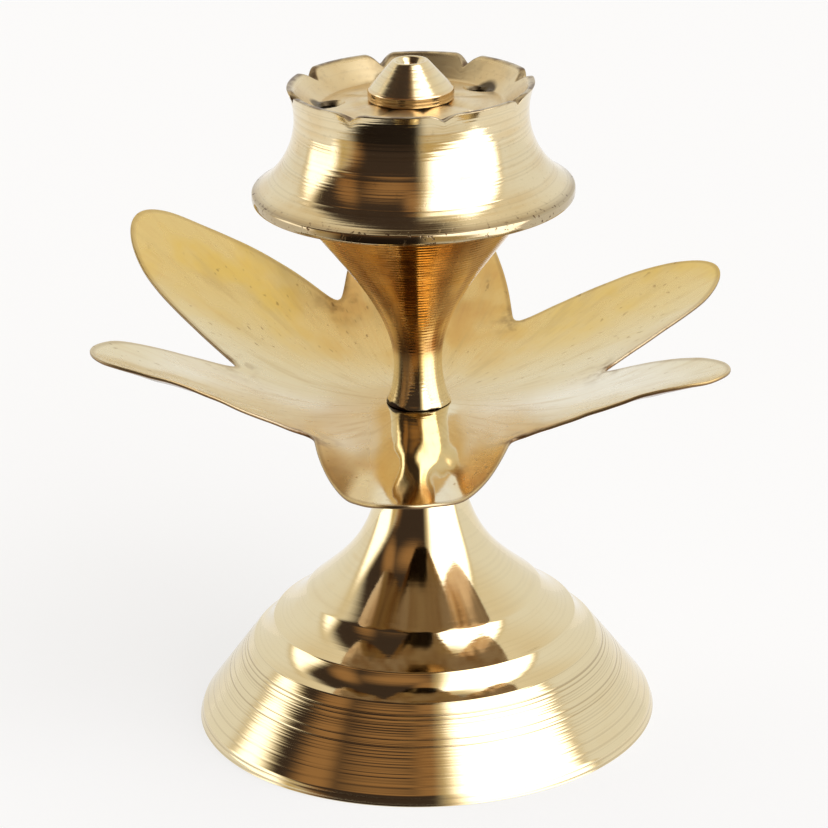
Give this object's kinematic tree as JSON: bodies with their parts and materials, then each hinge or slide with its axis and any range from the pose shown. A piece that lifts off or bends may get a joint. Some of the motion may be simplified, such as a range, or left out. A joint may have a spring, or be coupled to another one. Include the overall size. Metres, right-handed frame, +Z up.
{
  "type": "incense stick holder",
  "caption": "Turned brass incense stick holder: hollow conical foot, open flower of bent sheet petals, trumpet stem and scalloped cup drilled for sticks around a cone.",
  "frame": {"origin": "centre of the foot's lower edge, on the surface it stands on", "axes": "+Z up along the turned axis, -Y towards the viewer of the picture, +X to the viewer's right"},
  "size_m": [0.0829, 0.0915, 0.091],
  "materials": {
    "turned_brass_foot": "lathe-turned and polished",
    "sheet_brass_petals": "rolled sheet, lightly tarnished",
    "turned_brass_stem": "lathe-turned with fine grooves",
    "turned_brass_cup": "lathe-turned, satin polished",
    "turned_brass_nipple": "lathe-turned and polished",
    "plated_screw": "zinc plated",
    "plated_washer": "zinc plated"
  },
  "bodies": {
    "foot": {"base_foot": "turned_brass_foot", "foot_washer": "plated_washer"},
    "clamp_screw": {"clamp_screw": "plated_screw"},
    "petals": {"petal_plate": "sheet_brass_petals"},
    "holder": {"stem": "turned_brass_stem", "cup": "turned_brass_cup", "cone_nipple": "turned_brass_nipple"}
  },
  "joints": [
    {"name": "petal_swivel", "type": "hinge", "parent": "foot", "child": "petals", "pos_m": [0, 0, 0.04395], "axis": [0, 0, 1], "continuous": true},
    {"name": "screw_turn", "type": "hinge", "parent": "foot", "child": "clamp_screw", "pos_m": [0, 0, 0.026], "axis": [0, 0, -1], "range_deg": [0, 2900]},
    {"name": "holder_rise", "type": "slide", "parent": "foot", "child": "holder", "axis": [0, 0, 1], "range_m": [0, 0.0056]}
  ],
  "couplings": [
    {"joint": "screw_turn", "follows": "holder_rise", "rad_per_m": 8976}
  ]
}
